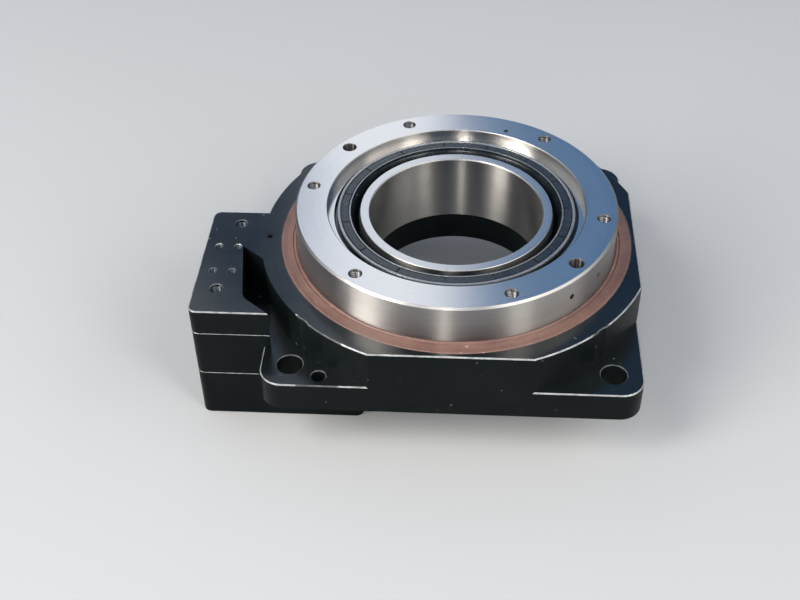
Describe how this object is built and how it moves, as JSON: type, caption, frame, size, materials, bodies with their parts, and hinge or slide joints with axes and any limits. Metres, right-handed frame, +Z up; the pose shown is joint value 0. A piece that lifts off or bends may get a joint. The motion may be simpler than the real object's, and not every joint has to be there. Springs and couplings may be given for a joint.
{
  "type": "hollow rotary table gear reducer",
  "caption": "Square-based gear reducer with a hollow rotating output table, a through bore, a spur gear pair and a motor flange on a side wing.",
  "frame": {"origin": "centre of the base's underside, which is the mounting face, on the output axis", "axes": "+Z up along the output axis, towards the output face; -X towards the wing that holds the input; +Y across"},
  "size_m": [0.1553, 0.13, 0.0635],
  "materials": {
    "black_anodised": "hard black anodised, satin",
    "turned_steel": "fine turned",
    "ground_steel": "ground",
    "bearing_steel": "polished",
    "gear_steel": "hobbed and oiled",
    "black_oxide": "black oxide",
    "brown_rubber": "moulded fluoro-rubber",
    "black_rubber": "moulded nitrile rubber",
    "nylon": "moulded",
    "brass_cage": "machined",
    "spring_steel": "drawn wire",
    "black_plastic": "moulded"
  },
  "bodies": {
    "base": {"housing": "black_anodised", "bearing_block": "black_anodised", "motor_flange": "black_anodised", "bottom_cover": "black_anodised", "cover_screws": "black_oxide", "block_screws": "black_oxide", "block_dowels": "bearing_steel", "flange_screws": "black_oxide", "access_plug": "black_plastic", "grease_plug": "black_oxide", "hollow_sleeve": "ground_steel", "sleeve_oring": "black_rubber", "outer_seal": "brown_rubber", "outer_seal_spring": "spring_steel", "bearing_retainer": "gear_steel", "retainer_screws": "black_oxide", "main_bearing_outer_ring": "bearing_steel", "upper_bearing_outer_ring": "bearing_steel", "lower_bearing_outer_ring": "bearing_steel", "lower_bearing_seals": "black_rubber"},
    "table": {"output_table": "turned_steel", "main_gear": "gear_steel", "gear_screws": "black_oxide", "gear_dowels": "bearing_steel", "main_bearing_inner_ring": "bearing_steel", "inner_seal": "black_rubber", "inner_seal_spring": "spring_steel"},
    "main_rollers": {"bearing_rollers": "bearing_steel", "roller_spacers": "nylon"},
    "input": {"input_pinion": "gear_steel", "clamp_collar": "black_oxide", "clamp_screw": "black_oxide", "shaft_circlip": "spring_steel", "upper_bearing_inner_ring": "bearing_steel", "lower_bearing_inner_ring": "bearing_steel"},
    "upper_ball_set": {"upper_bearing_balls": "bearing_steel", "upper_bearing_cage": "brass_cage"},
    "lower_ball_set": {"lower_bearing_balls": "bearing_steel", "lower_bearing_cage": "brass_cage"}
  },
  "joints": [
    {"name": "table_spin", "type": "hinge", "parent": "base", "child": "table", "pos_m": [0, 0, 0], "axis": [0, 0, 1], "continuous": true},
    {"name": "pinion_spin", "type": "hinge", "parent": "base", "child": "input", "pos_m": [-0.06, -0.0187, 0], "axis": [0, 0, 1], "continuous": true},
    {"name": "roller_orbit", "type": "hinge", "parent": "base", "child": "main_rollers", "pos_m": [0, 0, 0], "axis": [0, 0, 1], "continuous": true},
    {"name": "upper_ball_orbit", "type": "hinge", "parent": "base", "child": "upper_ball_set", "pos_m": [-0.06, -0.0187, 0], "axis": [0, 0, 1], "continuous": true},
    {"name": "lower_ball_orbit", "type": "hinge", "parent": "base", "child": "lower_ball_set", "pos_m": [-0.06, -0.0187, 0], "axis": [0, 0, 1], "continuous": true}
  ],
  "couplings": [
    {"joint": "pinion_spin", "follows": "table_spin", "ratio": -10},
    {"joint": "roller_orbit", "follows": "table_spin", "ratio": 0.48593},
    {"joint": "upper_ball_orbit", "follows": "table_spin", "ratio": -4.2273},
    {"joint": "lower_ball_orbit", "follows": "table_spin", "ratio": -4.3269}
  ]
}
